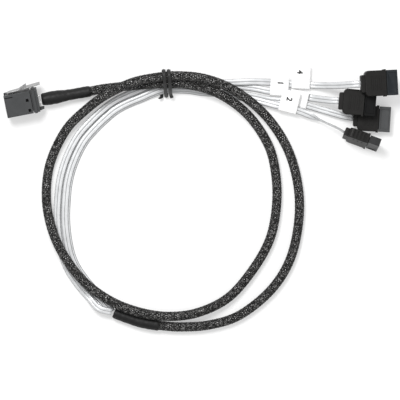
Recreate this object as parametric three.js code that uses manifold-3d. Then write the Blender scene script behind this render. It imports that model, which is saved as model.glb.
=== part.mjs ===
// Mini SAS breakout cable, lying coiled on a table.
// Millimetres, +Z up, the table top is z = 0. The origin is under the middle of the coil.
import * as THREE from 'three';
import { mergeVertices } from 'three/addons/utils/BufferGeometryUtils.js';
import Module from 'manifold-3d';

// Clearance that pieces keep where they touch
const GAP = 0.3;

// Braided sleeve with its eight pairs inside
const SLEEVE_DIAMETER = 5.2;
const SLEEVE_SIDES = 10;
const SLEEVE_STEPS = 76;

// Flat shielded ribbon, one for each drive plug
const RIBBON_WIDTH = 3.8;
const RIBBON_THICKNESS = 0.9;
const RIBBON_EDGE = 0.25;
const RIBBON_STEPS = 52;

// Heat-shrink necks: radius at stations along each
const HOST_NECK_RADII = [3.0, 3.5, 3.5, 3.0, 2.95, 3.05, 2.9];
const SPLIT_NECK_RADII = [2.75, 3.05, 3.05, 2.9, 2.9, 2.8];
const NECK_SIDES = 14;

// Host plug, seen along its own axes: x to the mouth, z to the latch side
const HOST_LENGTH = 18.3;
const HOST_WIDTH = 11.0;
const HOST_HEIGHT = 12.4;
const HOST_WALL = 1.1;
const COVER = { length: 3.5, wall: 1.2, inset: 0.15, shoulder: 1.4, skirt: 1.6, skirtWall: 0.6 };
const COVER_RIB = { from: 1.4, length: 1.4, proud: 0.25 };
const FOOT = { width: 4.6, length: 2.4, root: 0.5, low: 0.1, high: 1.7, taper: 0.2, slope: 0.6 };
const HOST_HEADING = 191;
const HOST_ROLL = 12;
const HOST_REAR = new THREE.Vector3(-88.9, 54.8, 6.99);
const KEY_NOTCH = { length: 4.8, depth: 1.7, width: 6.4, back: 1.1, step: 0.5 };
const KEY_RIB = { length: 0.6, width: 1.4, sunk: 0.5 };
const WINDOW = { length: 1.5, height: 1.7, behindMouth: [11.65, 12.05], belowTop: [4.7, 10.5] };
const CARD = { thickness: 1.0, sideGap: 0.4, length: 8.8, fromWall: 1.65 };
const WIRE_BLOCK_LENGTH = 3.0;
const WIRE_END = { y: -1.5, heights: [1.1, -2.9], behind: 1.1, binding: 0.4, inset: 0.5 };
const CUT_SPARE = 1;

// Sprung latch on the host plug, bent from one steel strip
const LATCH_STRIP = 0.5;
const LATCH_WIDTH = 5.4;
const LATCH_TRAVEL = 5;
const LATCH_SPARE = 1.12;
const LATCH_CLEAR = 0.45;
const LATCH_PIVOT = { behindMouth: 2.4, above: 0.2, radius: 0.45 };
const LATCH_PLATE = { length: 10.0, width: 7.6, overhang: 2.5 };
const LATCH_HOOK = { length: 4.6, height: 1.6, thickness: 0.6, lap: 2.0, lean: 0.5, root: 0.2 };

// Drive plugs, seen along their own axes: x to the slot, z through the thickness
const BOOT_LENGTH = 11.6;
const BOOT_WIDTH = 14.0;
const BOOT_THICKNESS = 5.6;
const BOOT_CORNER = 1.7;
const BOOT_EDGE = 0.45;
const BOOT_LIP = { length: 1.2, sideProud: 0.45, faceProud: 0.1 };
const COLLAR = { length: 2.3, width: 9.6, thickness: 4.6, corner: 0.6, lap: 1 };
const NOSE_LENGTH = 6.2;
const NOSE_INSET = { side: 0.05, face: 0.6 };
const NOSE_TONGUE = { length: 4.4, sideWall: 1.25, faceWall: 0.8, lap: 1 };
const NOSE_FIELD = { end: 0.9, side: 1.5, depth: 0.25 };
const SLOT = { sideWall: 1.45, thickness: 1.4, foot: 2.3, depth: 5.0 };
const CONTACTS = { count: 7, pitch: 1.27, width: 0.7, thickness: 0.3, length: 3.6, bar: 0.8 };
const GRIP = { count: 4, from: 2.6, pitch: 2.0, width: 0.9, depth: 0.35, edge: 0.8 };
const FACE_RIB = { count: 3, from: 3.4, pitch: 2.3, width: 0.8, sideShy: 3.2, height: 0.2 };

// Folded flag labels: one for each ribbon, wrapped round it with a tail to one side
const LABEL_LENGTH = 10.2;
const LABEL_PLY = 0.3;

// Twist tie round the coil and the ribbons: y and z of one turn, and its two tails
const TIE_WIDTH = 1.8;
const TIE_THICKNESS = 0.75;
const TIE_EDGE = 0.15;
const TIE_PITCH = 2.7;
const TIE_START = -21.25;
const TIE_STEPS = 44;
const TIE_TURN = [
  [56.0, 1.7], [57.4, 0.6], [62.2, 0.6], [66.6, 0.75], [68.3, 2.4], [69.4, 6.3], [70.9, 9.8],
  [70.4, 12.6], [67.8, 14.2], [64.9, 13.2], [62.0, 10.6], [59.6, 8.0], [57.3, 4.6],
];
const TIE_TAILS = [[-22.4, 55.3, 3.4], [-15.4, 55.6, 3.6]];

// Route of the sleeve: two passes of the coil, the second lying over the first where they cross
const SLEEVE_ROUTE = [
  [-61.3, 59.1, 3.1], [-52.3, 60.8, 3.3], [-38.5, 62.2, 4.6], [-22.0, 63.3, 6.6],
  [-5.5, 62.7, 6.6], [11.0, 57.5, 6.0], [26.4, 46.2, 4.0], [37.6, 29.7, 2.8],
  [41.8, 12.7, 2.65], [42.0, -5.0, 2.65], [38.3, -22.6, 2.65], [29.0, -39.1, 2.65],
  [16.0, -54.0, 2.9], [0.0, -62.2, 4.2], [-16.5, -64.6, 6.0], [-33.0, -62.3, 6.6],
  [-49.5, -55.9, 6.7], [-64.6, -44.6, 5.9], [-76.6, -28.1, 5.5], [-82.9, -11.3, 4.7],
  [-84.6, 5.0, 2.75], [-81.9, 21.5, 2.75], [-73.7, 38.0, 3.3], [-63.3, 48.6, 5.0],
  [-52.3, 56.7, 7.9], [-38.5, 63.4, 10.4], [-27.5, 66.1, 10.8], [-13.8, 67.6, 10.5],
  [2.8, 66.0, 9.4], [19.3, 59.4, 7.0], [35.8, 46.2, 4.4], [47.9, 28.3, 2.8],
  [53.9, 7.7, 2.65], [54.3, -12.7, 2.65], [49.5, -33.6, 2.65], [38.9, -50.3, 2.65],
  [22.0, -63.9, 2.65], [5.5, -69.3, 2.65], [-11.0, -70.5, 2.75], [-23.7, -69.5, 3.0],
];

// Route of the neck where the sleeve ends
const SPLIT_NECK_ROUTE = [[-24.3, -69.4, 3.1], [-33.0, -67.7, 3.1], [-41.3, -65.0, 3.1], [-47.4, -62.6, 3.1]];

// Middle of the ribbon bundle, from the neck round the left of the coil to the tie at its top.
// The third number is the height of the lower layer.
const BUNDLE_ROUTE = [
  [-48.55, -62.05, 1.25], [-53.5, -58.0, 1.1], [-58.7, -52.4, 0.7], [-65.0, -45.1, 0.6],
  [-70.8, -36.0, 0.6], [-74.0, -25.6, 0.6], [-75.6, -12.6, 0.6], [-75.3, -0.5, 0.6],
  [-74.0, 10.5, 0.6], [-70.7, 21.5, 0.6], [-65.2, 32.4, 0.6], [-57.8, 41.0, 0.6],
  [-49.5, 48.6, 0.6], [-44.0, 52.2, 0.6], [-38.5, 54.8, 0.7], [-33.0, 57.0, 0.9],
  [-27.5, 59.5, 1.4], [-22.0, 61.5, 1.8], [-16.5, 62.2, 1.8], [-6.0, 61.9, 1.2],
  [3.0, 60.6, 0.7],
];

// Ribbons 1 to 4: place in the bundle, place in the stack at the neck, then a route of its own
const RIBBONS = [
  {
    across: 2.15, layer: 0, stacked: 1, roll: 0,
    route: [[19.2, 62.2, 0.6], [30.0, 61.0, 0.8], [38.3, 59.4, 1.5], [48.6, 58.6, 1.5], [55.2, 57.0, 0.9],
      [61.0, 55.7, 1.2], [67.5, 54.7, 5.0], [72.5, 54.1, 8.1]],
  },
  {
    across: -1.2, layer: 1, stacked: 2, roll: 77.5,
    route: [[19.2, 56.6, 1.8], [30.0, 54.6, 1.9], [43.1, 51.2, 4.1], [53.7, 48.6, 4.1], [60.0, 46.2, 4.2],
      [66.0, 43.4, 5.2], [72.0, 40.6, 6.7], [76.2, 38.6, 7.6]],
    twist: [0.903, 0.945],
  },
  {
    across: -2.15, layer: 0, stacked: 0, roll: 0,
    route: [[19.2, 57.9, 0.6], [30.0, 56.4, 0.6], [38.7, 54.5, 0.7], [48.7, 53.7, 1.7], [58.9, 51.5, 1.7],
      [66.0, 49.4, 1.9], [74.0, 47.1, 2.6], [80.0, 45.5, 2.9]],
  },
  {
    across: 3.1, layer: 1, stacked: 3, roll: 0,
    route: [[19.2, 64.2, 1.9], [30.0, 64.6, 1.8], [38.7, 64.3, 0.9], [44.5, 64.0, 0.75], [50.3, 63.1, 1.4],
      [60.6, 62.6, 1.55], [68.0, 62.4, 4.2], [76.0, 62.3, 10.2], [83.2, 62.6, 15.0]],
  },
];

// Labels 1 to 4: the middle of each wrap on its ribbon, its heading, and how far its tail reaches
const LABEL_PLACES = [[43.6, 59.0, 1.5], [48.4, 49.9, 4.1], [53.8, 52.6, 1.7], [55.5, 62.85, 1.55]];
const LABEL_HEADINGS = [-4.4, -13.8, -12.2, -2.8];
const LABEL_TAILS = [8.1, 9.5, 6.8, 10.4];

// Drive plugs 1 to 4: the rear of each collar, and its heading, pitch and roll in degrees
const PLUG_PLACES = [[76.2, 53.9, 9.35], [79.2, 36.4, 7.95], [84.4, 44.8, 3.02], [87.9, 62.9, 15.95]];
const PLUG_TURNS = [
  { heading: -5, pitch: 0, roll: 0 },
  { heading: -20.3, pitch: 0, roll: 77.5 },
  { heading: -3.4, pitch: 0, roll: 0 },
  { heading: 3, pitch: 8, roll: 0 },
];

const COLOURS = {
  hostPlastic: { color: 0x4c4c50, roughness: 0.5, metalness: 0 },
  blackPlastic: { color: 0x333337, roughness: 0.45, metalness: 0 },
  heatShrink: { color: 0x26262a, roughness: 0.7, metalness: 0 },
  sleeve: { color: 0x1c1c1f, roughness: 0.6, metalness: 0 },
  steel: { color: 0xb9bab6, roughness: 0.35, metalness: 1 },
  silver: { color: 0xb4b7b8, roughness: 0.35, metalness: 0.6 },
  vinyl: { color: 0xf0f0ee, roughness: 0.6, metalness: 0 },
  gold: { color: 0xc9a24a, roughness: 0.3, metalness: 1 },
  board: { color: 0x1f4a34, roughness: 0.6, metalness: 0 },
  tie: { color: 0x1a1a1c, roughness: 0.5, metalness: 0 },
};

const wasm = await Module();
wasm.setup();

const radians = THREE.MathUtils.degToRad;
const UP = new THREE.Vector3(0, 0, 1);

function toSolid(geometry) {
  const bare = geometry.clone();
  bare.deleteAttribute('normal');
  bare.deleteAttribute('uv');
  const merged = mergeVertices(bare, 1e-4);
  const index = merged.index.array;
  const triVerts = [];
  for (let i = 0; i < index.length; i += 3) {
    const [a, b, c] = [index[i], index[i + 1], index[i + 2]];
    if (a !== b && b !== c && c !== a) triVerts.push(a, b, c);
  }
  return new wasm.Manifold(new wasm.Mesh({
    numProp: 3,
    vertProperties: merged.attributes.position.array,
    triVerts: Uint32Array.from(triVerts),
  }));
}

function toGeometry(solid) {
  const mesh = solid.getMesh();
  const geometry = new THREE.BufferGeometry();
  geometry.setAttribute('position', new THREE.BufferAttribute(mesh.vertProperties, 3));
  geometry.setIndex(new THREE.BufferAttribute(mesh.triVerts, 1));
  geometry.computeVertexNormals();
  return geometry;
}

// A box from its low corner to its high corner
function block(low, high) {
  const size = low.map((value, axis) => high[axis] - value);
  const geometry = new THREE.BoxGeometry(...size);
  geometry.translate(...low.map((value, axis) => (value + high[axis]) / 2));
  return geometry;
}

// A box that is centred across y and z
function bar(x0, x1, width, height, z = 0, y = 0) {
  return block([x0, y - width / 2, z - height / 2], [x1, y + width / 2, z + height / 2]);
}

function build(base, added = [], removed = []) {
  let solid = toSolid(base);
  for (const geometry of added) solid = solid.add(toSolid(geometry));
  for (const geometry of removed) solid = solid.subtract(toSolid(geometry));
  return toGeometry(solid);
}

// An outline in the x-z plane, pulled across y
function plateAlong(points, width) {
  const shape = new THREE.Shape(points.map(([x, z]) => new THREE.Vector2(x, z)));
  const geometry = new THREE.ExtrudeGeometry(shape, { depth: width, bevelEnabled: false });
  geometry.rotateX(Math.PI / 2);
  geometry.translate(0, width / 2, 0);
  return geometry;
}

// A plate in the x-y plane with rounded rear corners and eased edges
function roundedPlate(x0, x1, width, thickness, corner, edge) {
  const half = width / 2 - edge;
  const rear = x0 + edge;
  const front = x1 - edge;
  const shape = new THREE.Shape();
  shape.moveTo(front, -half);
  shape.lineTo(front, half);
  shape.lineTo(rear + corner, half);
  shape.absarc(rear + corner, half - corner, corner, Math.PI / 2, Math.PI, false);
  shape.absarc(rear + corner, corner - half, corner, Math.PI, Math.PI * 1.5, false);
  shape.closePath();
  const geometry = new THREE.ExtrudeGeometry(shape, {
    depth: thickness - 2 * edge,
    bevelThickness: edge,
    bevelSize: edge,
    bevelSegments: 2,
    curveSegments: 5,
  });
  geometry.translate(0, 0, edge - thickness / 2);
  return geometry;
}

// A path whose section keeps its width level, turned about the path by rollAt
class LevelPath extends THREE.CatmullRomCurve3 {
  constructor(points, rollAt = () => 0) {
    super(points.map((point) => new THREE.Vector3(...point)), false, 'catmullrom', 0.5);
    this.rollAt = rollAt;
  }

  widthAt(tangent, u) {
    const side = new THREE.Vector3().crossVectors(UP, tangent).normalize();
    return side.applyAxisAngle(tangent, this.rollAt(u));
  }

  computeFrenetFrames(segments) {
    const frames = { tangents: [], normals: [], binormals: [] };
    for (let i = 0; i <= segments; i += 1) {
      const tangent = this.getTangentAt(i / segments);
      const normal = this.widthAt(tangent, i / segments);
      frames.tangents.push(tangent);
      frames.normals.push(normal);
      frames.binormals.push(new THREE.Vector3().crossVectors(tangent, normal));
    }
    return frames;
  }
}

// A path whose section keeps its width along x
class WrapPath extends LevelPath {
  widthAt(tangent) {
    const across = new THREE.Vector3(1, 0, 0);
    return across.addScaledVector(tangent, -tangent.x).normalize();
  }
}

function roundSection(diameter, sides) {
  const shape = new THREE.Shape();
  for (let i = 0; i < sides; i += 1) {
    const angle = (i + 0.5) * 2 * Math.PI / sides;
    const x = diameter / 2 * Math.cos(angle);
    const y = diameter / 2 * Math.sin(angle);
    if (i === 0) shape.moveTo(x, y);
    else shape.lineTo(x, y);
  }
  return shape;
}

// A flat section with its four corners taken off
function flatSection(width, thickness, edge) {
  const x = width / 2;
  const y = thickness / 2;
  return new THREE.Shape([
    [x - edge, -y], [x, edge - y], [x, y - edge], [x - edge, y],
    [edge - x, y], [-x, y - edge], [-x, edge - y], [edge - x, -y],
  ].map(([px, py]) => new THREE.Vector2(px, py)));
}

function sweep(section, path, steps) {
  return new THREE.ExtrudeGeometry(section, { steps, extrudePath: path });
}

// A turned neck, bent along a path
function neck(radii, route) {
  const path = new LevelPath(route);
  const length = path.getLength();
  const profile = [new THREE.Vector2(0, 0)];
  radii.forEach((radius, i) => profile.push(new THREE.Vector2(radius, length * i / (radii.length - 1))));
  profile.push(new THREE.Vector2(0, length));
  const geometry = new THREE.LatheGeometry(profile, NECK_SIDES);
  const position = geometry.attributes.position;
  for (let i = 0; i < position.count; i += 1) {
    const u = THREE.MathUtils.clamp(position.getY(i) / length, 0, 1);
    const tangent = path.getTangentAt(u);
    const side = path.widthAt(tangent, u);
    const top = new THREE.Vector3().crossVectors(tangent, side);
    const point = path.getPointAt(u);
    point.addScaledVector(side, position.getZ(i)).addScaledVector(top, position.getX(i));
    position.setXYZ(i, point.x, point.y, point.z);
  }
  return toGeometry(toSolid(geometry));
}

const cable = new THREE.Group();

function add(parent, name, geometry, colour) {
  const mesh = new THREE.Mesh(geometry, new THREE.MeshStandardMaterial(COLOURS[colour]));
  mesh.name = name;
  parent.add(mesh);
  return mesh;
}

// Host plug, with its rear face at x = 0
const hostTop = HOST_HEIGHT / 2;
const shellRear = COVER.length + GAP;
const insideWidth = HOST_WIDTH - 2 * HOST_WALL;
const insideHeight = HOST_HEIGHT - 2 * HOST_WALL;
const blockRear = shellRear + GAP;
const blockFront = blockRear + WIRE_BLOCK_LENGTH;
const pivot = [HOST_LENGTH - LATCH_PIVOT.behindMouth, hostTop + LATCH_PIVOT.above];

function hostShell() {
  const removed = [
    bar(shellRear - CUT_SPARE, HOST_LENGTH + CUT_SPARE, insideWidth, insideHeight),
    bar(HOST_LENGTH - KEY_NOTCH.back, HOST_LENGTH + CUT_SPARE, KEY_NOTCH.width, KEY_NOTCH.depth, hostTop),
    bar(pivot[0] - 2 * LATCH_PIVOT.radius, pivot[0] + 2 * LATCH_PIVOT.radius, LATCH_WIDTH + 2 * GAP,
      2 * (LATCH_PIVOT.radius + GAP - LATCH_PIVOT.above), hostTop),
  ];
  WINDOW.belowTop.forEach((below, i) => {
    const x = HOST_LENGTH - WINDOW.behindMouth[i];
    removed.push(bar(x - WINDOW.length, x, HOST_WIDTH + CUT_SPARE, WINDOW.height, hostTop - below));
  });
  const keyFront = HOST_LENGTH - KEY_NOTCH.length;
  const stepLow = hostTop - KEY_NOTCH.depth;
  const keys = [];
  for (const side of [-1, 1]) {
    const keyMiddle = side * (HOST_WIDTH - KEY_RIB.width) / 2;
    keys.push(bar(keyFront - KEY_RIB.length, keyFront, KEY_RIB.width, 2 * KEY_RIB.sunk, hostTop, keyMiddle));
    removed.push(bar(keyFront, HOST_LENGTH + CUT_SPARE, 2 * KEY_NOTCH.step, KEY_NOTCH.step,
      stepLow + KEY_NOTCH.step / 2, side * HOST_WIDTH / 2));
  }
  return build(bar(shellRear, HOST_LENGTH, HOST_WIDTH, HOST_HEIGHT), keys, removed);
}

function hostRearCover() {
  const skirtWidth = insideWidth - 2 * GAP;
  const skirtHeight = insideHeight - 2 * GAP;
  const skirtEnd = shellRear + COVER.skirt;
  const ribEnd = COVER_RIB.from + COVER_RIB.length;
  const coverWidth = HOST_WIDTH - 2 * COVER.inset;
  const coverHeight = HOST_HEIGHT - 2 * COVER.inset;
  const rib = bar(COVER_RIB.from, ribEnd, HOST_WIDTH + 2 * COVER_RIB.proud,
    HOST_HEIGHT + 2 * COVER_RIB.proud);
  const footTip = [FOOT.high - FOOT.taper, FOOT.low + FOOT.slope];
  const foot = plateAlong([
    [FOOT.root, FOOT.low - hostTop], [FOOT.root, FOOT.high - hostTop],
    [-FOOT.length, footTip[0] - hostTop], [-FOOT.length, footTip[1] - hostTop],
  ], FOOT.width);
  const hollow = bar(COVER.wall, COVER.length + CUT_SPARE, insideWidth, insideHeight);
  const shoulder = bar(COVER.wall, COVER.wall + COVER.shoulder, insideWidth, insideHeight);
  const skirt = bar(COVER.wall, skirtEnd, skirtWidth, skirtHeight);
  const inside = bar(COVER.wall, skirtEnd + CUT_SPARE, skirtWidth - 2 * COVER.skirtWall,
    skirtHeight - 2 * COVER.skirtWall);
  const cup = build(bar(0, COVER.length, coverWidth, coverHeight), [rib], [hollow]);
  return build(cup, [shoulder, skirt, foot], [inside]);
}

// The four ribbons leave in two pairs and are bound together at the neck
const wireMiddle = (WIRE_END.heights[0] + WIRE_END.heights[1]) / 2;
function hostRibbonEnds() {
  const rear = -WIRE_END.behind;
  const pairHeight = 2 * RIBBON_THICKNESS;
  const pairs = WIRE_END.heights.map((z) => bar(rear, -GAP, RIBBON_WIDTH, pairHeight, z, WIRE_END.y));
  const binding = bar(rear, rear + WIRE_END.binding, RIBBON_WIDTH - 2 * WIRE_END.inset,
    WIRE_END.heights[0] - WIRE_END.heights[1], wireMiddle, WIRE_END.y);
  return build(binding, pairs);
}

// The latch strip rises from its pivot over the shell to a press plate at the rear
function hostLatch() {
  const rise = LATCH_SPARE * Math.tan(radians(LATCH_TRAVEL));
  const lift = (x) => hostTop + LATCH_CLEAR + (pivot[0] - x) * rise;
  const plateFront = LATCH_PLATE.length - LATCH_PLATE.overhang;
  const under = [pivot[0], plateFront, -LATCH_PLATE.overhang].map((x) => [x, lift(x)]);
  const over = under.map(([x, z]) => [x, z + LATCH_STRIP]).reverse();
  const strip = plateAlong([...under, ...over], LATCH_WIDTH);
  const plate = plateAlong([under[1], under[2], over[0], over[1]], LATCH_PLATE.width);
  const curl = new THREE.CylinderGeometry(LATCH_PIVOT.radius, LATCH_PIVOT.radius, LATCH_WIDTH, 10);
  curl.translate(pivot[0], 0, pivot[1]);
  const web = block([pivot[0] - LATCH_PIVOT.radius, -LATCH_WIDTH / 2, pivot[1]],
    [pivot[0], LATCH_WIDTH / 2, lift(pivot[0]) + LATCH_STRIP]);
  const hookRear = plateFront - LATCH_HOOK.lap;
  const hookBase = lift(hookRear) + LATCH_STRIP / 2;
  const hookFront = hookRear + LATCH_HOOK.length;
  const hooks = [-1, 1].map((side) => {
    const hook = plateAlong([
      [hookFront, lift(hookFront) + LATCH_STRIP / 2], [hookRear, hookBase + LATCH_HOOK.height],
      [hookRear - LATCH_HOOK.lean, hookBase + LATCH_HOOK.height], [hookRear - LATCH_HOOK.root, hookBase],
    ], LATCH_HOOK.thickness);
    hook.translate(0, side * (LATCH_WIDTH - LATCH_HOOK.thickness) / 2, 0);
    return hook;
  });
  return build(strip, [plate, curl, web, ...hooks]);
}

// The flange of the block closes the shell, and its core stands inside the skirt of the cover
function hostWireBlock() {
  const flangeWidth = insideWidth - 2 * GAP;
  const flangeHeight = insideHeight - 2 * GAP;
  const coreInset = 2 * (COVER.skirtWall + GAP);
  const core = bar(blockRear, blockFront, flangeWidth - coreInset, flangeHeight - coreInset);
  return build(core, [bar(shellRear + COVER.skirt + GAP, blockFront, flangeWidth, flangeHeight)]);
}

const hostForward = new THREE.Vector3(Math.cos(radians(HOST_HEADING)), Math.sin(radians(HOST_HEADING)), 0);
const hostLevel = new THREE.Vector3(hostForward.y, -hostForward.x, 0);
const hostLatchWay = hostLevel.clone().multiplyScalar(Math.cos(radians(HOST_ROLL)))
  .addScaledVector(UP, Math.sin(radians(HOST_ROLL)));
const hostSide = new THREE.Vector3().crossVectors(hostLatchWay, hostForward);
const host = new THREE.Group();
host.position.copy(HOST_REAR);
host.setRotationFromMatrix(new THREE.Matrix4().makeBasis(hostForward, hostSide, hostLatchWay));
host.updateMatrixWorld();
cable.add(host);

add(host, 'host_plug_shell', hostShell(), 'hostPlastic');
add(host, 'host_rear_cover', hostRearCover(), 'hostPlastic');
add(host, 'host_latch', hostLatch(), 'steel');
add(host, 'host_wire_block', hostWireBlock(), 'blackPlastic');
add(host, 'host_ribbon_ends', hostRibbonEnds(), 'silver');
for (const [name, side] of [['host_upper_card', 1], ['host_lower_card', -1]]) {
  const from = blockFront + GAP;
  const width = insideWidth - 2 * CARD.sideGap;
  const level = side * (insideHeight / 2 - CARD.fromWall);
  add(host, name, bar(from, from + CARD.length, width, CARD.thickness, level), 'board');
}

// Neck on the host side, then the sleeve and the neck where it ends
const neckEnd = SLEEVE_ROUTE[0];
const neckStart = host.localToWorld(new THREE.Vector3(-WIRE_END.behind - 2 * GAP, WIRE_END.y, wireMiddle));
const hostNeckRoute = [0, 1 / 3, 2 / 3, 1].map((share) => {
  const x = THREE.MathUtils.lerp(neckStart.x, neckEnd[0] - 2 * GAP, share);
  const y = THREE.MathUtils.lerp(neckStart.y, neckEnd[1], share);
  return [x, y, THREE.MathUtils.lerp(neckStart.z, neckEnd[2], share)];
});
add(cable, 'host_heat_shrink', neck(HOST_NECK_RADII, hostNeckRoute), 'heatShrink');
const sleevePath = new LevelPath(SLEEVE_ROUTE);
const sleeveSection = roundSection(SLEEVE_DIAMETER, SLEEVE_SIDES);
add(cable, 'sleeve_trunk', sweep(sleeveSection, sleevePath, SLEEVE_STEPS), 'sleeve');
add(cable, 'split_heat_shrink', neck(SPLIT_NECK_RADII, SPLIT_NECK_ROUTE), 'heatShrink');

// Route of one ribbon: its place in the bundle, spread out of the stack at the neck, then its own points
const STACK_PITCH = RIBBON_THICKNESS + GAP;
function ribbonRoute(ribbon, plugPlace, plugHeading) {
  const points = BUNDLE_ROUTE.map(([x, y, low], i) => {
    const before = BUNDLE_ROUTE[Math.max(i - 1, 0)];
    const after = BUNDLE_ROUTE[Math.min(i + 1, BUNDLE_ROUTE.length - 1)];
    const along = new THREE.Vector2(after[0] - before[0], after[1] - before[1]).normalize();
    const spread = Math.min(i, 1);
    const settled = THREE.MathUtils.clamp(i - 1, 0, 1);
    const level = THREE.MathUtils.lerp(ribbon.stacked, ribbon.layer, settled);
    const across = ribbon.across * spread;
    return [x - along.y * across, y + along.x * across, low + level * STACK_PITCH];
  });
  const back = 1.5 * GAP;
  const heading = radians(plugHeading);
  const [x, y, z] = plugPlace;
  return [...points, ...ribbon.route, [x - back * Math.cos(heading), y - back * Math.sin(heading), z]];
}

RIBBONS.forEach((ribbon, i) => {
  const [from, to] = ribbon.twist ?? [0, 1];
  const rollAt = (u) => radians(ribbon.roll) * THREE.MathUtils.smoothstep(u, from, to);
  const path = new LevelPath(ribbonRoute(ribbon, PLUG_PLACES[i], PLUG_TURNS[i].heading), rollAt);
  const section = flatSection(RIBBON_WIDTH, RIBBON_THICKNESS, RIBBON_EDGE);
  add(cable, `ribbon_${i + 1}`, sweep(section, path, RIBBON_STEPS), 'silver');
});

// Labels: a wrap round the ribbon and a two-ply tail level with the top of the wrap
function label([x, y, z], heading, tail) {
  const insideHalf = RIBBON_WIDTH / 2 + GAP;
  const outsideHalf = insideHalf + LABEL_PLY;
  const insideHeightHalf = RIBBON_THICKNESS / 2 + GAP;
  const outsideHeight = 2 * (insideHeightHalf + LABEL_PLY);
  const wrap = bar(-LABEL_LENGTH / 2, LABEL_LENGTH / 2, 2 * outsideHalf, outsideHeight);
  const inside = bar(-LABEL_LENGTH, LABEL_LENGTH, 2 * insideHalf, 2 * insideHeightHalf);
  const flag = block([-LABEL_LENGTH / 2, insideHalf + LABEL_PLY / 2, outsideHeight / 2 - 2 * LABEL_PLY],
    [LABEL_LENGTH / 2, tail, outsideHeight / 2]);
  const geometry = build(wrap, [flag], [inside]);
  geometry.rotateZ(radians(heading));
  geometry.translate(x, y, z);
  return geometry;
}
LABEL_PLACES.forEach((place, i) => {
  add(cable, `label_${i + 1}`, label(place, LABEL_HEADINGS[i], LABEL_TAILS[i]), 'vinyl');
});

// Drive plug, with the rear of its collar at x = 0
const bootRear = COLLAR.length;
const bootFront = bootRear + BOOT_LENGTH;
const noseRear = bootFront + GAP;
const noseFront = noseRear + NOSE_LENGTH;
const noseWidth = BOOT_WIDTH - 2 * NOSE_INSET.side;
const noseThickness = BOOT_THICKNESS - 2 * NOSE_INSET.face;
const tongueRear = bootFront - NOSE_TONGUE.length;
const tongueWidth = noseWidth - 2 * NOSE_TONGUE.sideWall;
const tongueThickness = noseThickness - 2 * NOSE_TONGUE.faceWall;
const slotWidth = noseWidth - 2 * SLOT.sideWall;

function plugBoot() {
  const body = roundedPlate(bootRear, bootFront, BOOT_WIDTH, BOOT_THICKNESS, BOOT_CORNER, BOOT_EDGE);
  const collarFront = bootRear + COLLAR.lap;
  const collar = roundedPlate(0, collarFront, COLLAR.width, COLLAR.thickness, COLLAR.corner, BOOT_EDGE / 2);
  const lip = bar(bootFront - BOOT_LIP.length, bootFront, BOOT_WIDTH + 2 * BOOT_LIP.sideProud,
    BOOT_THICKNESS + 2 * BOOT_LIP.faceProud);
  const ribs = [];
  const ribLength = BOOT_WIDTH - 2 * FACE_RIB.sideShy;
  for (let i = 0; i < FACE_RIB.count; i += 1) {
    const x = bootRear + FACE_RIB.from + i * FACE_RIB.pitch;
    ribs.push(bar(x, x + FACE_RIB.width, ribLength, BOOT_THICKNESS + 2 * FACE_RIB.height));
  }
  const pocket = bar(tongueRear - GAP, bootFront + CUT_SPARE, tongueWidth + 2 * GAP,
    tongueThickness + 2 * GAP);
  const grips = [];
  const gripHeight = BOOT_THICKNESS - 2 * GRIP.edge;
  for (let i = 0; i < GRIP.count; i += 1) {
    const x = bootRear + GRIP.from + i * GRIP.pitch;
    for (const side of [-1, 1]) {
      grips.push(bar(x, x + GRIP.width, 2 * GRIP.depth, gripHeight, 0, side * BOOT_WIDTH / 2));
    }
  }
  return build(body, [collar, lip, ...ribs], [pocket, ...grips]);
}

function plugNose() {
  const frame = bar(noseRear, noseFront, noseWidth, noseThickness);
  const tongue = bar(tongueRear, noseRear + NOSE_TONGUE.lap, tongueWidth, tongueThickness);
  const slotRear = noseFront - SLOT.depth;
  const slotEnd = noseFront + CUT_SPARE;
  const slot = bar(slotRear, slotEnd, slotWidth, SLOT.thickness);
  const foot = block([slotRear, slotWidth / 2 - SLOT.thickness, -SLOT.thickness / 2],
    [slotEnd, slotWidth / 2, SLOT.foot - SLOT.thickness / 2]);
  const fields = [-1, 1].map((side) => bar(noseRear + NOSE_FIELD.end, noseFront - NOSE_FIELD.end,
    noseWidth - 2 * NOSE_FIELD.side, 2 * NOSE_FIELD.depth, side * noseThickness / 2));
  return build(frame, [tongue], [slot, foot, ...fields]);
}

function plugContacts() {
  const rear = noseFront - SLOT.depth + GAP;
  const span = (CONTACTS.count - 1) * CONTACTS.pitch + CONTACTS.width;
  const z = GAP + CONTACTS.thickness / 2 - SLOT.thickness / 2;
  const teeth = [];
  for (let i = 0; i < CONTACTS.count; i += 1) {
    const y = (i - (CONTACTS.count - 1) / 2) * CONTACTS.pitch;
    teeth.push(bar(rear, rear + CONTACTS.length, CONTACTS.width, CONTACTS.thickness, z, y));
  }
  return build(bar(rear, rear + CONTACTS.bar, span, CONTACTS.thickness, z), teeth);
}

PLUG_PLACES.forEach((place, i) => {
  const { heading, pitch, roll } = PLUG_TURNS[i];
  const plug = new THREE.Group();
  plug.position.set(...place);
  plug.rotation.set(radians(roll), radians(pitch), radians(heading), 'ZYX');
  cable.add(plug);
  add(plug, `drive_plug_${i + 1}_boot`, plugBoot(), 'blackPlastic');
  add(plug, `drive_plug_${i + 1}_nose`, plugNose(), 'blackPlastic');
  add(plug, `drive_plug_${i + 1}_contacts`, plugContacts(), 'gold');
});

// Twist tie: two turns round both passes of the sleeve and the ribbons under them
function twistTie() {
  const points = [TIE_TAILS[0]];
  for (let i = 0; i < 2 * TIE_TURN.length; i += 1) {
    const [y, z] = TIE_TURN[i % TIE_TURN.length];
    points.push([TIE_START + TIE_PITCH * i / TIE_TURN.length, y, z]);
  }
  points.push(TIE_TAILS[1]);
  const section = flatSection(TIE_WIDTH, TIE_THICKNESS, TIE_EDGE);
  return sweep(section, new WrapPath(points), TIE_STEPS);
}
add(cable, 'twist_tie', twistTie(), 'tie');

export default cable;
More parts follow.
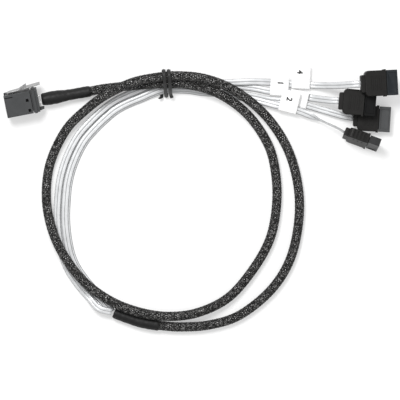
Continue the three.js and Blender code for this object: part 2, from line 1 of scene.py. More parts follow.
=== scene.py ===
"""Looks of the mini SAS breakout cable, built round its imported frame. Metres, +Z up."""
import math

import bpy
import numpy as np
from mathutils import Matrix, Vector


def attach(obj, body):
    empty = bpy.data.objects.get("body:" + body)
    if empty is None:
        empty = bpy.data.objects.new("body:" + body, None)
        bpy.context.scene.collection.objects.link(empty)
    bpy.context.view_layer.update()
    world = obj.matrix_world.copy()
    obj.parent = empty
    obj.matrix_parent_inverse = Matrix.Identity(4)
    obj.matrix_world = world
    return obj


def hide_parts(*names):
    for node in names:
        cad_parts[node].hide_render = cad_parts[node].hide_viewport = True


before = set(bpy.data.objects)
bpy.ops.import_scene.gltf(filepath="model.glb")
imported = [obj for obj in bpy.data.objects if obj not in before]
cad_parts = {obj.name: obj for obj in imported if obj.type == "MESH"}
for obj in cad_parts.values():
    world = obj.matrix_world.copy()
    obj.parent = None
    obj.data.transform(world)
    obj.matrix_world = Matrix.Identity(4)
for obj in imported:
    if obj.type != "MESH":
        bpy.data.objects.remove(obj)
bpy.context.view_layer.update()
MM = 0.001

# Camera: straight above, 220 mm of table across the picture
VIEW_WIDTH = 0.2205
VIEW_HEIGHT = 2.4
VIEW_MIDDLE = (0.0, -0.0006)
SENSOR = 36.0
VIEW_REACH = 20.0

# Studio: a pale table, an even sky, and lamps with their place, size and power
TABLE_SIZE = 6.0
TABLE_DROP = 0.1 * MM
TABLE_DIFFUSE = 0.54
TABLE_GLOW = 0.4
SKY_STRENGTH = 0.62
LAMPS = [
    ("key_lamp", (-0.22, 0.42, 0.8), 0.35, 7.5),
    ("fill_lamp", (0.5, -0.3, 0.8), 0.7, 1.5),
]

# How near a wall has to be for painted shade to darken moulded plastic in its recesses
PAINTED_SHADE_REACH = 1.2 * MM

# Sizes of the cords, and the steps in which their lines are drawn
CORE_RADIUS = 2.2 * MM
RIBBON_WIDTH = 3.8 * MM
RIBBON_THICKNESS = 0.9 * MM
GAP = 0.3 * MM
STEP = 1.25 * MM
RIBBON_STEP = 2.0 * MM
NECK_STEP = 0.5 * MM
TIE_STEP = 0.6 * MM
CORE_SIDES = 16
NECK_SIDES = 28

# Braid: flat yarns, twelve wound each way, that pass over and under one another
YARNS_EACH_WAY = 12
BRAID_LEAD = 30.0 * MM
YARN_WIDTH = 0.8 * MM
YARN_CROWN = 0.13 * MM
YARN_LIFT = 0.1 * MM
BRAID_RADIUS = 2.42 * MM

# Route of the sleeve in millimetres, the same points as the part's own source
SLEEVE_ROUTE = [
    (-61.3, 59.1, 3.1), (-52.3, 60.8, 3.3), (-38.5, 62.2, 4.6), (-22.0, 63.3, 6.6),
    (-5.5, 62.7, 6.6), (11.0, 57.5, 6.0), (26.4, 46.2, 4.0), (37.6, 29.7, 2.8),
    (41.8, 12.7, 2.65), (42.0, -5.0, 2.65), (38.3, -22.6, 2.65), (29.0, -39.1, 2.65),
    (16.0, -54.0, 2.9), (0.0, -62.2, 4.2), (-16.5, -64.6, 6.0), (-33.0, -62.3, 6.6),
    (-49.5, -55.9, 6.7), (-64.6, -44.6, 5.9), (-76.6, -28.1, 5.5), (-82.9, -11.3, 4.7),
    (-84.6, 5.0, 2.75), (-81.9, 21.5, 2.75), (-73.7, 38.0, 3.3), (-63.3, 48.6, 5.0),
    (-52.3, 56.7, 7.9), (-38.5, 63.4, 10.4), (-27.5, 66.1, 10.8), (-13.8, 67.6, 10.5),
    (2.8, 66.0, 9.4), (19.3, 59.4, 7.0), (35.8, 46.2, 4.4), (47.9, 28.3, 2.8),
    (53.9, 7.7, 2.65), (54.3, -12.7, 2.65), (49.5, -33.6, 2.65), (38.9, -50.3, 2.65),
    (22.0, -63.9, 2.65), (5.5, -69.3, 2.65), (-11.0, -70.5, 2.75), (-23.7, -69.5, 3.0),
]
SPLIT_NECK_ROUTE = [
    (-22.4, -69.7, 3.05), (-33.0, -67.7, 3.1), (-41.3, -65.0, 3.1), (-47.4, -62.6, 3.1),
]

# Ends of the neck between the host plug and the sleeve
HOST_NECK_START = (-87.1, 54.6, 5.34)
HOST_NECK_END = (-60.2, 59.35, 3.1)

# Radii along each neck in millimetres, and how far the wires inside show at its start, middle and end
HOST_NECK_RADII = [3.15, 3.6, 3.55, 3.05, 2.95, 3.05, 3.0]
HOST_NECK_LUMPS = (1, 0.3, 0.1)
SPLIT_NECK_RADII = [3.0, 3.1, 3.05, 2.9, 2.9, 2.85]
SPLIT_NECK_LUMPS = (0.1, 0.4, 1.2)
WIRES_IN_NECK = 4
LUMP_RISE = 0.035
MOUTH_DRAW = 0.14
MOUTH_EDGE = 1.05 * MM

# Middle of the ribbon bundle, and the height of its lower layer
BUNDLE_ROUTE = [
    (-48.55, -62.05, 1.25), (-53.5, -58.0, 1.1), (-58.7, -52.4, 0.7), (-65.0, -45.1, 0.6),
    (-70.8, -36.0, 0.6), (-74.0, -25.6, 0.6), (-75.6, -12.6, 0.6), (-75.3, -0.5, 0.6),
    (-74.0, 10.5, 0.6), (-70.7, 21.5, 0.6), (-65.2, 32.4, 0.6), (-57.8, 41.0, 0.6),
    (-49.5, 48.6, 0.6), (-44.0, 52.2, 0.6), (-38.5, 54.8, 0.7), (-33.0, 57.0, 0.9),
    (-27.5, 59.5, 1.4), (-22.0, 61.5, 1.8), (-16.5, 62.2, 1.8), (-6.0, 61.9, 1.2),
    (3.0, 60.6, 0.7),
]

# Each ribbon: number, place across the bundle, layer, place in the stack at the neck, its own route,
# its plug's end point and heading, and the roll that it takes on between two shares of its length
RIBBONS = [
    (1, 2.15, 0, 1, [
        (19.2, 62.2, 0.6), (30.0, 61.0, 0.8), (38.3, 59.4, 1.5), (48.6, 58.6, 1.5), (55.2, 57.0, 0.9),
        (61.0, 55.7, 1.2), (67.5, 54.7, 5.0), (72.5, 54.1, 8.1)], (76.2, 53.9, 9.35), -5, 0, (0, 1)),
    (2, -1.2, 1, 2, [
        (19.2, 56.6, 1.8), (30.0, 54.6, 1.9), (43.1, 51.2, 4.1), (53.7, 48.6, 4.1), (60.0, 46.2, 4.2),
        (66.0, 43.4, 5.2), (72.0, 40.6, 6.7), (76.2, 38.6, 7.6)], (79.2, 36.4, 7.95), -20.3, 77.5,
     (0.903, 0.945)),
    (3, -2.15, 0, 0, [
        (19.2, 57.9, 0.6), (30.0, 56.4, 0.6), (38.7, 54.5, 0.7), (48.7, 53.7, 1.7), (58.9, 51.5, 1.7),
        (66.0, 49.4, 1.9), (74.0, 47.1, 2.6), (80.0, 45.5, 2.9)], (84.4, 44.8, 3.02), -3.4, 0, (0, 1)),
    (4, 3.1, 1, 3, [
        (19.2, 64.2, 1.9), (30.0, 64.6, 1.8), (38.7, 64.3, 0.9), (44.5, 64.0, 0.75), (50.3, 63.1, 1.4),
        (60.6, 62.6, 1.55), (68.0, 62.4, 4.2), (76.0, 62.3, 10.2), (83.2, 62.6, 15.0)],
     (87.9, 62.9, 15.95), 3, 0, (0, 1)),
]

# How far a ribbon reaches into its plug's collar, in millimetres
INTO_COLLAR = 0.8

# Labels: number, middle of the wrap, heading, reach across the ribbon, base height, place of the digit
LABELS = [
    (1, (43.6, 59.0), -4.4, 10.6, 0.45, (0.2, 4.9)),
    (2, (48.4, 49.9), -13.8, 12.0, 3.05, (-0.6, 5.0)),
    (3, (53.8, 52.6), -12.2, 9.3, 0.65, (-2.7, 4.4)),
    (4, (55.5, 62.85), -2.8, 12.9, 0.5, (-0.9, 7.0)),
]
LABEL_LENGTH = 10.2 * MM
LABEL_HEIGHT = 2.1 * MM
LABEL_CORNER = 0.5 * MM
LABEL_COLUMNS = 9
LABEL_PLY = 0.14 * MM
DIGIT_SIZE = 4.3 * MM
DIGIT_WEIGHT = 0.11 * MM
DIGIT_DEPTH = 0.015 * MM
DIGIT_LIFT = 0.42 * MM

# Twist tie: one turn's y and z, and its two tails
TIE_TURN = [
    (56.0, 1.7), (57.4, 0.6), (62.2, 0.6), (66.6, 0.75), (68.3, 2.4), (69.4, 6.3), (70.9, 9.8),
    (70.4, 12.6), (67.8, 14.2), (64.9, 13.2), (62.0, 10.6), (59.6, 8.0), (57.3, 4.6),
]
TIE_TAILS = [(-22.4, 55.3, 3.4), (-15.4, 55.6, 3.6)]
TIE_START = -21.25
TIE_PITCH = 2.7
TIE_TURNS = 2

# Section of the tie in millimetres: a flat strip with the wire's bead along its middle
TIE_SECTION = [
    (-0.95, -0.1), (-0.5, -0.13), (-0.3, -0.36), (0.3, -0.36), (0.5, -0.13), (0.95, -0.1),
    (0.95, 0.1), (0.5, 0.13), (0.3, 0.36), (-0.3, 0.36), (-0.5, 0.13), (-0.95, 0.1),
]


# Finish and width of the eased edges in millimetres, of the host plug's pieces
HOST_FINISHES = {
    "host_plug_shell": ("host", 0.18), "host_rear_cover": ("host", 0.15), "host_latch": ("steel", 0.06),
    "host_wire_block": ("black", 0.1), "host_ribbon_ends": ("foil_plain", 0.1),
    "host_upper_card": ("laminate", 0.05), "host_lower_card": ("laminate", 0.05),
}
WELD_REACH = 0.001 * MM
EASED_ANGLE = math.radians(32)


class Wire:
    """A shader socket or number that takes part in sums, each sum adding one Math node."""

    def __init__(self, paint, value):
        self.paint = paint
        self.value = value

    def sum(self, operation, *others):
        values = [self.value] + [getattr(other, "value", other) for other in others]
        inputs = dict(enumerate(values))
        return self.paint.add("ShaderNodeMath", {"operation": operation}, inputs)

    def __add__(self, other):
        return self.sum("ADD", other)

    def __mul__(self, other):
        return self.sum("MULTIPLY", other)

    def __sub__(self, other):
        return self.sum("SUBTRACT", other)

    def __rsub__(self, other):
        return self.paint.wire(other).sum("SUBTRACT", self)

    __radd__ = __add__
    __rmul__ = __mul__

    def clamped(self, low, high):
        return self.sum("SUBTRACT", low).sum("DIVIDE", high - low).sum("MAXIMUM", 0.0).sum("MINIMUM", 1.0)


class Paint:
    """One node material with a Principled shader."""

    def __init__(self, name, **constants):
        self.material = bpy.data.materials.new(name)
        self.material.use_nodes = True
        self.nodes = self.material.node_tree.nodes
        self.links = self.material.node_tree.links
        self.shader = self.nodes["Principled BSDF"]
        for socket, value in constants.items():
            self.shader.inputs[socket.replace("_", " ")].default_value = value

    def wire(self, value):
        return Wire(self, value)

    def add(self, kind, settings=None, inputs=None, output=0):
        node = self.nodes.new(kind)
        for key, value in (settings or {}).items():
            if key == "stops":
                for element, (place, colour) in zip(node.color_ramp.elements, value):
                    element.position = place
                    element.color = colour
            else:
                setattr(node, key, value)
        for key, value in (inputs or {}).items():
            value = getattr(value, "value", value)
            if isinstance(value, bpy.types.NodeSocket):
                self.links.new(value, node.inputs[key])
            else:
                node.inputs[key].default_value = value
        return Wire(self, node.outputs[output])

    def coords(self, which="Object", scale=(1, 1, 1)):
        place = self.add("ShaderNodeTexCoord", output=which)
        return self.add("ShaderNodeMapping", {}, {"Vector": place, "Scale": scale})

    def noise(self, scale, detail=3.0, stretch=(1, 1, 1), which="Object"):
        inputs = {"Vector": self.coords(which, stretch), "Scale": scale, "Detail": detail}
        return self.add("ShaderNodeTexNoise", {}, inputs, "Fac")

    def mix(self, share, low, high):
        return self.add("ShaderNodeMix", {"data_type": "RGBA"}, {0: share, 6: low, 7: high}, 2)

    def set(self, socket, wire):
        self.links.new(wire.value, self.shader.inputs[socket])

    def bump(self, height, distance, strength=1.0):
        inputs = {"Height": height, "Distance": distance, "Strength": strength}
        self.set("Normal", self.add("ShaderNodeBump", {}, inputs))


def grey(level, warmth=0.0):
    return (level * (1 + warmth), level, level * (1 - warmth), 1.0)


def moulded(name, level, roughness, grain=0.00002, cool=-0.03, gloss=0.22):
    """Moulded plastic: a fine sparked grain, slightly uneven gloss and tone, and painted shade that
    darkens its recesses.
    """
    paint = Paint(name, Specular_IOR_Level=gloss)
    cloud = paint.noise(260.0, 4.0)
    tone = paint.mix(cloud, grey(level * 0.82, cool), grey(level * 1.2, cool))
    # Painted shade: an ambient occlusion mask turns the colour towards near black where a wall is near,
    # standing in for shade in recesses and at the feet of ribs
    painted_recess_shade = paint.add("ShaderNodeAmbientOcclusion", {"samples": 8}, {"Distance": PAINTED_SHADE_REACH}, "AO")
    paint.set("Base Color", paint.mix(painted_recess_shade.clamped(0.35, 0.95), grey(level * 0.15), tone))
    paint.set("Roughness", cloud * 0.16 + (roughness - 0.08))
    paint.bump(paint.noise(5200.0, 2.0), grain, 0.8)
    return paint.material


def spring_steel():
    """Spring steel, brushed lengthwise."""
    paint = Paint("spring_steel", Metallic=1.0)
    streak = paint.noise(900.0, 3.0, (0.25, 4.0, 4.0))
    paint.set("Base Color", paint.mix(streak, grey(0.2), grey(0.42)))
    paint.set("Roughness", streak * 0.2 + 0.3)
    return paint.material


def heat_shrink():
    """Heat-shrink: matt black, with soft lengthwise creases."""
    paint = Paint("heat_shrink_film", Specular_IOR_Level=0.2)
    cloud = paint.noise(350.0, 3.0)
    paint.set("Base Color", paint.mix(cloud, grey(0.006), grey(0.016)))
    paint.set("Roughness", cloud * 0.15 + 0.42)
    crease = paint.noise(1.0, 3.0, (120.0, 900.0, 1.0), "UV")
    paint.bump(crease, 0.00016, 0.7)
    return paint.material


def yarn():
    """Braid yarn: parallel black filaments, with painted glints along their length in the base colour."""
    paint = Paint("braid_yarn", Specular_IOR_Level=0.16)
    filament = paint.noise(1.0, 1.0, (260.0, 9000.0, 1.0), "UV")
    # Painted highlight: sparse pale streaks along the yarn stand in for the glints of its filaments
    painted_glint = paint.noise(1.0, 2.0, (560.0, 1500.0, 1.0), "UV").clamped(0.52, 0.66)
    tone = painted_glint * (filament.clamped(0.3, 0.7) * 0.6 + 0.4) + filament * 0.05
    paint.set("Base Color", paint.mix(tone.clamped(0.0, 1.0), grey(0.003), grey(0.27, 0.02)))
    paint.set("Roughness", filament * 0.3 + 0.35)
    paint.bump(filament, 0.00003, 0.6)
    return paint.material


def sleeve_core():
    """What shows between the yarns: pale foil of the pairs inside, in shade."""
    paint = Paint("sleeve_core", Roughness=0.35)
    patch = paint.noise(480.0, 2.0)
    paint.set("Base Color", paint.mix(patch.clamped(0.46, 0.54), grey(0.012), grey(0.9)))
    return paint.material


def ribbon_foil():
    """Silver foil under clear film: two pale lobes with painted shade in the groove between them and along
    the edges, and foil wraps.
    """
    paint = Paint("ribbon_foil", Metallic=0.15, Coat_Weight=0.4, Coat_Roughness=0.2)
    place = paint.add("ShaderNodeTexCoord", output="UV")
    split = paint.add("ShaderNodeSeparateXYZ", {}, {0: place})
    along = split
    across = Wire(paint, split.value.node.outputs[1])
    wrap = (along * 1050.0 + across * 700.0).sum("FRACT").clamped(0.0, 0.12)
    # Painted shade: the foil is darkened in bands along the groove and the edges, where the lobes turn
    # away from the light; the patches are its own uneven tone
    groove_edge_shade_wave = (across * (2 * math.pi / (RIBBON_WIDTH / 2))).sum("COSINE")
    patch = paint.noise(300.0, 3.0)
    tone = (1.0 - groove_edge_shade_wave.clamped(0.6, 1.0)) * 0.8 + patch * 0.35
    shaded_foil = paint.mix(tone.clamped(0.0, 1.0), grey(0.13, -0.02), grey(0.6, -0.015))
    paint.set("Base Color", paint.mix(wrap * 0.35 + 0.65, grey(0.36), shaded_foil))
    paint.set("Roughness", patch * 0.3 + 0.2)
    return paint.material


def label_vinyl():
    """White vinyl with a faint tooth."""
    paint = Paint("label_vinyl", Roughness=0.45)
    cloud = paint.noise(200.0, 2.0)
    paint.set("Base Color", paint.mix(cloud, grey(0.84), grey(0.88)))
    paint.bump(paint.noise(2600.0, 2.0), 0.00001, 0.5)
    return paint.material


def plain(name, colour, roughness, metallic=0.0):
    """A small part's finish: one colour with a soft unevenness."""
    paint = Paint(name, Metallic=metallic)
    cloud = paint.noise(600.0, 3.0)
    dark = tuple(value * 0.7 for value in colour[:3]) + (1.0,)
    paint.set("Base Color", paint.mix(cloud, dark, colour))
    paint.set("Roughness", cloud * 0.1 + roughness)
    return paint.material


def table_top():
    """Pale table that shows as near white to the camera, mirrors and glass, and keeps the shadow."""
    material = bpy.data.materials.new("table_top")
    material.use_nodes = True
    nodes = material.node_tree.nodes
    links = material.node_tree.links
    nodes.clear()
    out = nodes.new("ShaderNodeOutputMaterial")
    total = nodes.new("ShaderNodeAddShader")
    diffuse = nodes.new("ShaderNodeBsdfDiffuse")
    diffuse.inputs["Color"].default_value = grey(TABLE_DIFFUSE)
    glow = nodes.new("ShaderNodeEmission")
    ray = nodes.new("ShaderNodeLightPath")
    seen = nodes.new("ShaderNodeMath")
    seen.operation = "ADD"
    links.new(ray.outputs["Is Camera Ray"], seen.inputs[0])
    links.new(ray.outputs["Is Glossy Ray"], seen.inputs[1])
    share = nodes.new("ShaderNodeMath")
    share.operation = "MULTIPLY"
    links.new(seen.outputs[0], share.inputs[0])
    share.inputs[1].default_value = TABLE_GLOW
    links.new(share.outputs[0], glow.inputs["Strength"])
    links.new(diffuse.outputs[0], total.inputs[0])
    links.new(glow.outputs[0], total.inputs[1])
    links.new(total.outputs[0], out.inputs["Surface"])
    return material


def smooth_line(points, step):
    """A Catmull-Rom curve through the points in millimetres, as evenly spaced points in metres."""
    knots = np.array(points, dtype=float) * MM
    knots = np.vstack([2 * knots[0] - knots[1], knots, 2 * knots[-1] - knots[-2]])
    fine = []
    for i in range(1, len(knots) - 2):
        a, b, c, d = knots[i - 1:i + 3]
        t = np.linspace(0, 1, 40, endpoint=False)[:, None]
        fine.append(0.5 * (2 * b + (c - a) * t + (2 * a - 5 * b + 4 * c - d) * t ** 2
                           + (3 * b - a - 3 * c + d) * t ** 3))
    line = np.vstack(fine + [knots[-2:-1]])
    reach = np.concatenate([[0], np.cumsum(np.linalg.norm(np.diff(line, axis=0), axis=1))])
    count = max(2, int(round(reach[-1] / step)) + 1)
    even = np.linspace(0, reach[-1], count)
    return np.stack([np.interp(even, reach, line[:, k]) for k in range(3)], axis=1)


def unit(vectors):
    return vectors / np.linalg.norm(vectors, axis=-1, keepdims=True)


def level_frame(line, roll=None):
    """The tangent, the level width direction and the direction across both, turned by roll."""
    tangent = unit(np.gradient(line, axis=0))
    side = unit(np.cross((0, 0, 1), tangent))
    top = np.cross(tangent, side)
    if roll is None:
        return tangent, side, top
    cos = np.cos(roll)[:, None]
    sin = np.sin(roll)[:, None]
    return tangent, side * cos + top * sin, top * cos - side * sin


def mesh_piece(name, vertices, faces, material, uvs=None, smooth=True):
    mesh = bpy.data.meshes.new(name)
    mesh.from_pydata([tuple(v) for v in vertices], [], faces)
    if uvs is not None:
        layer = mesh.uv_layers.new(name="UVMap")
        index = np.empty(len(mesh.loops), dtype=np.int32)
        mesh.loops.foreach_get("vertex_index", index)
        layer.data.foreach_set("uv", np.asarray(uvs, dtype=np.float32)[index].ravel())
    mesh.polygons.foreach_set("use_smooth", [smooth] * len(mesh.polygons))
    mesh.materials.append(material)
    mesh.update()
    piece = bpy.data.objects.new(name, mesh)
    bpy.context.collection.objects.link(piece)
    return piece


def sweep_data(line, side, top, section, first=0):
    """Vertices, faces and UVs of a closed section carried along a line.

    section holds one outline for each point of the line, as (points, corners, 2).
    """
    stations, corners = section.shape[:2]
    ring = line[:, None] + side[:, None] * section[..., :1] + top[:, None] * section[..., 1:]
    around = np.concatenate([[0], np.cumsum(np.linalg.norm(np.diff(section[0], axis=0), axis=1))])
    along = np.concatenate([[0], np.cumsum(np.linalg.norm(np.diff(line, axis=0), axis=1))])
    uvs = np.stack(np.meshgrid(along, around, indexing="ij"), axis=-1).reshape(-1, 2)
    faces = []
    for i in range(stations - 1):
        for j in range(corners):
            a = first + i * corners + j
            b = first + i * corners + (j + 1) % corners
            faces.append((a, b, b + corners, a + corners))
    last = first + (stations - 1) * corners
    faces.append(tuple(first + j for j in reversed(range(corners))))
    faces.append(tuple(last + j for j in range(corners)))
    return ring.reshape(-1, 3), faces, uvs


def sweep(name, line, frame_of, section, material):
    _, side, top = frame_of
    if section.ndim == 2:
        section = np.repeat(section[None], len(line), axis=0)
    vertices, faces, uvs = sweep_data(line, side, top, section)
    return mesh_piece(name, vertices, faces, material, uvs)


def circle(radius, sides):
    angle = np.arange(sides) * 2 * math.pi / sides
    return np.stack([np.cos(angle), np.sin(angle)], axis=1) * radius


def lobed_section(width, thickness):
    """A flat ribbon over two pairs: two soft lobes with a shallow groove between."""
    across = np.cos(np.linspace(0, math.pi, 11))
    rise = np.sqrt(np.clip(1 - np.abs(across) ** 3.2, 0, 1)) * (0.84 - 0.16 * np.cos(2 * math.pi * across))
    upper = np.stack([across * width / 2, rise * thickness / 2], axis=1)
    lower = upper[1:-1][::-1] * (1, -1)
    return np.vstack([upper, lower])


def braid(line, frame_of, material):
    """Yarns wound both ways round the line, each one lifted where it passes over and sunk where under."""
    tangent, side, top = frame_of
    count = len(line)
    travel = np.arange(count) * STEP
    over = np.cos(math.pi * np.arange(count))
    half = YARN_WIDTH / 2
    yarn_section = np.array([(-half, 0), (0, -YARN_CROWN / 2), (half, 0), (0, YARN_CROWN)])
    points = []
    faces = []
    places = []
    first = 0
    for way in (1, -1):
        for k in range(YARNS_EACH_WAY):
            angle = 2 * math.pi * (k / YARNS_EACH_WAY + way * travel / BRAID_LEAD)
            out = side * np.cos(angle)[:, None] + top * np.sin(angle)[:, None]
            round_way = top * np.cos(angle)[:, None] - side * np.sin(angle)[:, None]
            centre = line + out * (BRAID_RADIUS + way * over * YARN_LIFT)[:, None]
            slope = way * 2 * math.pi * BRAID_RADIUS / BRAID_LEAD
            across = unit(round_way - tangent * slope)
            section = np.repeat(yarn_section[None], count, axis=0)
            vertices, own_faces, uvs = sweep_data(centre, across, out, section, first)
            points.append(vertices)
            faces.extend(tuple(reversed(face)) for face in own_faces)
            places.append(uvs + (k * 0.013 + way * 0.3, k * 0.007))
            first += len(vertices)
    return mesh_piece("braided_sleeve", np.vstack(points), faces, material, np.vstack(places))


def neck(name, route, radii, material, wire_count, lumpiness):
    """Shrunk film round the wires: it follows their lumps and narrows towards its mouth."""
    line = smooth_line(route, NECK_STEP)
    share = np.linspace(0, 1, len(line))
    radius = np.interp(share, np.linspace(0, 1, len(radii)), radii) * MM
    ends = np.minimum(share, 1 - share) * len(line) * NECK_STEP
    radius = radius * (1 - MOUTH_DRAW + MOUTH_DRAW * np.clip(ends / MOUTH_EDGE, 0, 1) ** 0.5)
    angle = np.arange(NECK_SIDES)[None] * 2 * math.pi / NECK_SIDES
    along = share[:, None]
    lumps = np.cos(angle * wire_count) * np.interp(share, [0, 0.5, 1], lumpiness)[:, None]
    ripple = 0.012 * np.sin(along * 37 + angle * 3) + 0.01 * np.sin(along * 61 - angle)
    reach = radius[:, None] * (1 + LUMP_RISE * lumps + ripple)
    section = np.stack([np.cos(angle) * reach, np.sin(angle) * reach], axis=-1)
    return sweep(name, line, level_frame(line), section, material)


def ribbon_route(across, layer, stacked, own, end, heading):
    """One ribbon's points: stacked at the neck, spread beside the others after it, then on its own."""
    points = []
    for i, (x, y, low) in enumerate(BUNDLE_ROUTE):
        before = BUNDLE_ROUTE[max(i - 1, 0)]
        after = BUNDLE_ROUTE[min(i + 1, len(BUNDLE_ROUTE) - 1)]
        dx = after[0] - before[0]
        dy = after[1] - before[1]
        length = math.hypot(dx, dy)
        spread = across * min(i, 1)
        settled = min(max(i - 1, 0), 1)
        level = stacked + (layer - stacked) * settled
        pitch = (RIBBON_THICKNESS + GAP) / MM
        points.append((x - dy / length * spread, y + dx / length * spread, low + level * pitch))
    turn = math.radians(heading)
    inside = (end[0] + INTO_COLLAR * math.cos(turn), end[1] + INTO_COLLAR * math.sin(turn), end[2])
    return points + own + [inside]


def make_camera():
    """A long lens straight above the coil."""
    data = bpy.data.cameras.new("camera")
    data.sensor_width = SENSOR
    data.lens = SENSOR * VIEW_HEIGHT / VIEW_WIDTH
    data.clip_end = VIEW_REACH
    camera = bpy.data.objects.new("camera", data)
    camera.location = (*VIEW_MIDDLE, VIEW_HEIGHT)
    bpy.context.collection.objects.link(camera)
    bpy.context.scene.camera = camera


def make_cords(paints):
    """The sleeve and its braid, and the four ribbons."""
    line = smooth_line(SLEEVE_ROUTE, STEP)
    level = level_frame(line)
    core = sweep("sleeve_core", line, level, circle(CORE_RADIUS, CORE_SIDES), paints["core"])
    yarns = braid(line, level, paints["yarn"])
    for piece in (core, yarns):
        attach(piece, "cable")
        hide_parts("sleeve_trunk")
    made = {"core": core, "yarns": yarns, "line": line}
    for number, across, layer, stacked, own, end, heading, roll, (start, stop) in RIBBONS:
        path = smooth_line(ribbon_route(across, layer, stacked, own, end, heading), RIBBON_STEP)
        share = np.clip((np.linspace(0, 1, len(path)) - start) / (stop - start), 0, 1)
        turn = math.radians(roll) * share ** 2 * (3 - 2 * share)
        section = lobed_section(RIBBON_WIDTH, RIBBON_THICKNESS)
        ribbon = sweep(f"flat_ribbon_{number}", path, level_frame(path, turn), section, paints["foil"])
        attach(ribbon, "cable")
        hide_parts(f"ribbon_{number}")
        made[number] = (ribbon, path)
    return made


def line_length(line):
    return float(np.linalg.norm(np.diff(line, axis=0), axis=1).sum())


def declare_cords(made):
    line = made["line"]
    line_length(line)
    line[::4].tolist() + [line[-1].tolist()]
    for number in (1, 2, 3, 4):
        ribbon, path = made[number]
        line_length(path)


def make_necks(paints):
    route = [tuple(a + (b - a) * share for a, b in zip(HOST_NECK_START, HOST_NECK_END))
             for share in (0, 0.33, 0.67, 1)]
    shrink = paints["shrink"]
    host = neck("host_neck", route, HOST_NECK_RADII, shrink, WIRES_IN_NECK, HOST_NECK_LUMPS)
    split = neck("split_neck", SPLIT_NECK_ROUTE, SPLIT_NECK_RADII, shrink, WIRES_IN_NECK,
                 SPLIT_NECK_LUMPS)
    for piece, node in ((host, "host_heat_shrink"), (split, "split_heat_shrink")):
        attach(piece, "cable")
        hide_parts(node)
    return host, split


def label_outline(half, tail, low, high):
    """The strip seen from its end: down the tail's upper ply, round the ribbon and back out."""
    corner = LABEL_CORNER
    under = high - 1.15 * LABEL_PLY
    outline = [(tail, high)]
    outline += [(half + (tail - half) * share, high) for share in (0.75, 0.5, 0.25, 0.05)]
    outline += [(0, high), (-half + corner, high), (-half, high - corner), (-half, low + corner)]
    outline += [(-half + corner, low), (0, low), (half - corner, low), (half, low + corner)]
    outline += [(half + 0.35 * MM, under)]
    outline += [(half + (tail - half) * share, under) for share in (0.3, 0.6, 1)]
    return outline


def make_label(number, middle, heading, reach, base, digit, paints):
    """A vinyl flag: one strip folded round the ribbon, its two ends stuck together as a tail."""
    wrap_half = RIBBON_WIDTH / 2 + GAP + LABEL_PLY / 2
    low = LABEL_PLY / 2
    high = LABEL_HEIGHT - LABEL_PLY / 2
    tail = reach * MM - wrap_half
    outline = label_outline(wrap_half, tail, low, high)
    columns = LABEL_COLUMNS
    vertices = []
    for i in range(columns):
        share = i / (columns - 1)
        x = (share - 0.5) * LABEL_LENGTH
        for y, z in outline:
            lift = max(0.0, (y - wrap_half) / (tail - wrap_half))
            curl = (0.35 * lift ** 2 + 0.12 * lift * math.sin(math.pi * share + number)) * MM
            vertices.append((x, y, z + curl))
    row = len(outline)
    faces = []
    for i in range(columns - 1):
        for j in range(row - 1):
            a = i * row + j
            faces.append((a, a + row, a + row + 1, a + 1))
    piece = mesh_piece(f"flag_label_{number}", vertices, faces, paints["vinyl"])
    solid = piece.modifiers.new("ply", "SOLIDIFY")
    solid.thickness = LABEL_PLY
    solid.offset = 0.0
    apply_modifiers(piece)
    place = Matrix.Translation((middle[0] * MM, middle[1] * MM, base * MM))
    place = place @ Matrix.Rotation(math.radians(heading), 4, "Z")
    piece.data.transform(place)
    print_piece = make_digit(number, digit, high + 0.6 * LABEL_PLY, place, paints["ink"])
    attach(piece, "cable")
    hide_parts(f"label_{number}")
    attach(print_piece, "cable")
    return piece


def make_digit(number, where, height, place, material):
    """A plain digit, its top towards the plugs."""
    bpy.ops.object.select_all(action="DESELECT")
    bpy.ops.object.text_add(location=(0, 0, 0))
    text = bpy.context.object
    text.data.body = str(number)
    text.data.size = DIGIT_SIZE
    text.data.align_x = "CENTER"
    text.data.align_y = "CENTER"
    text.data.extrude = DIGIT_DEPTH
    text.data.offset = DIGIT_WEIGHT
    bpy.ops.object.convert(target="MESH")
    piece = bpy.context.object
    piece.name = f"digit_{number}"
    own = Matrix.Translation((where[0] * MM, where[1] * MM, height + DIGIT_LIFT))
    piece.data.transform(place @ own @ Matrix.Rotation(-math.pi / 2, 4, "Z"))
    piece.data.materials.clear()
    piece.data.materials.append(material)
    return piece


def apply_modifiers(piece):
    bpy.ops.object.select_all(action="DESELECT")
    piece.select_set(True)
    bpy.context.view_layer.objects.active = piece
    for modifier in list(piece.modifiers):
        bpy.ops.object.modifier_apply(modifier=modifier.name)


def make_tie(paints):
    """The twist tie: two turns round the coil, with its flat side towards the cords."""
    points = [TIE_TAILS[0]]
    for i in range(TIE_TURNS * len(TIE_TURN)):
        y, z = TIE_TURN[i % len(TIE_TURN)]
        points.append((TIE_START + TIE_PITCH * i / len(TIE_TURN), y, z))
    points.append(TIE_TAILS[1])
    line = smooth_line(points, TIE_STEP)
    tangent = unit(np.gradient(line, axis=0))
    side = unit(np.array((1.0, 0, 0)) - tangent * tangent[:, :1])
    top = np.cross(tangent, side)
    section = np.array(TIE_SECTION) * MM
    piece = sweep("twist_tie_wire", line, (tangent, side, top), section, paints["tie"])
    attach(piece, "cable")
    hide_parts("twist_tie")
    return piece


def dress_nodes(paints):
    """Finishes and eased edges for the CAD nodes that stay."""
    finishes = dict(HOST_FINISHES)
    for number in (1, 2, 3, 4):
        finishes[f"drive_plug_{number}_boot"] = ("black", 0.1)
        finishes[f"drive_plug_{number}_nose"] = (f"nose_{number}", 0.12)
        finishes[f"drive_plug_{number}_contacts"] = ("gold", 0.03)
    for name, (paint, width) in finishes.items():
        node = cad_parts[name]
        for material_slot in node.material_slots:
            material_slot.material = paints[paint]
        weld = node.modifiers.new("weld", "WELD")
        weld.merge_threshold = WELD_REACH
        bevel = node.modifiers.new("eased_edges", "BEVEL")
        bevel.width = width * MM
        bevel.segments = 2
        bevel.limit_method = "ANGLE"
        bevel.angle_limit = EASED_ANGLE


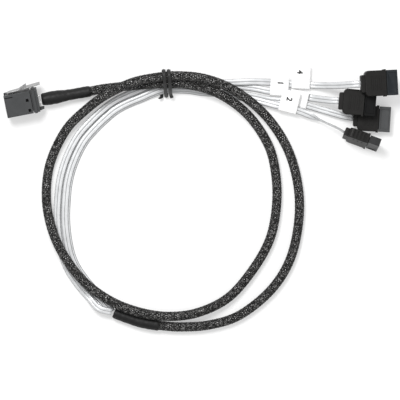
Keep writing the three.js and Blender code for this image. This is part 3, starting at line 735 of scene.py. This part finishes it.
def make_stage():
    """The table, the even sky and the two lamps."""
    bpy.ops.object.select_all(action="DESELECT")
    bpy.ops.mesh.primitive_plane_add(size=TABLE_SIZE, location=(0, 0, -TABLE_DROP))
    floor = bpy.context.object
    floor.name = "table_top"
    floor.data.materials.append(table_top())
    world = bpy.data.worlds.new("studio")
    world.use_nodes = True
    world.node_tree.nodes["Background"].inputs["Color"].default_value = (1, 1, 1, 1)
    world.node_tree.nodes["Background"].inputs["Strength"].default_value = SKY_STRENGTH
    bpy.context.scene.world = world
    for name, place, size, power in LAMPS:
        data = bpy.data.lights.new(name, "AREA")
        data.size = size
        data.energy = power
        lamp = bpy.data.objects.new(name, data)
        lamp.location = place
        lamp.rotation_euler = (-Vector(place)).to_track_quat("-Z", "Y").to_euler()
        bpy.context.collection.objects.link(lamp)


def make_paints():
    return {
        "host": moulded("host_nylon", 0.05, 0.5),
        "black": moulded("plug_plastic", 0.013, 0.42, cool=0.04, gloss=0.12),
        "nose_1": moulded("nose_plastic_1", 0.005, 0.4, gloss=0.1),
        "nose_2": moulded("nose_plastic_2", 0.02, 0.4),
        "nose_3": moulded("nose_plastic_3", 0.06, 0.38),
        "nose_4": moulded("nose_plastic_4", 0.016, 0.36, cool=-0.2),
        "steel": spring_steel(),
        "shrink": heat_shrink(),
        "yarn": yarn(),
        "core": sleeve_core(),
        "foil": ribbon_foil(),
        "foil_plain": plain("bare_foil", grey(0.7), 0.25, 0.5),
        "vinyl": label_vinyl(),
        "ink": plain("label_ink", grey(0.01), 0.5),
        "gold": plain("contact_gold", (0.83, 0.62, 0.24, 1.0), 0.2, 1.0),
        "laminate": plain("card_laminate", (0.02, 0.11, 0.06, 1.0), 0.35),
        "tie": plain("tie_coating", grey(0.012), 0.35),
    }


bpy.context.scene.view_settings.view_transform = "Standard"
make_camera()
finishes = make_paints()
cords = make_cords(finishes)
_, split_neck = make_necks(finishes)
for entry in LABELS:
    make_label(*entry, finishes)
make_tie(finishes)
dress_nodes(finishes)
declare_cords(cords)
make_stage()
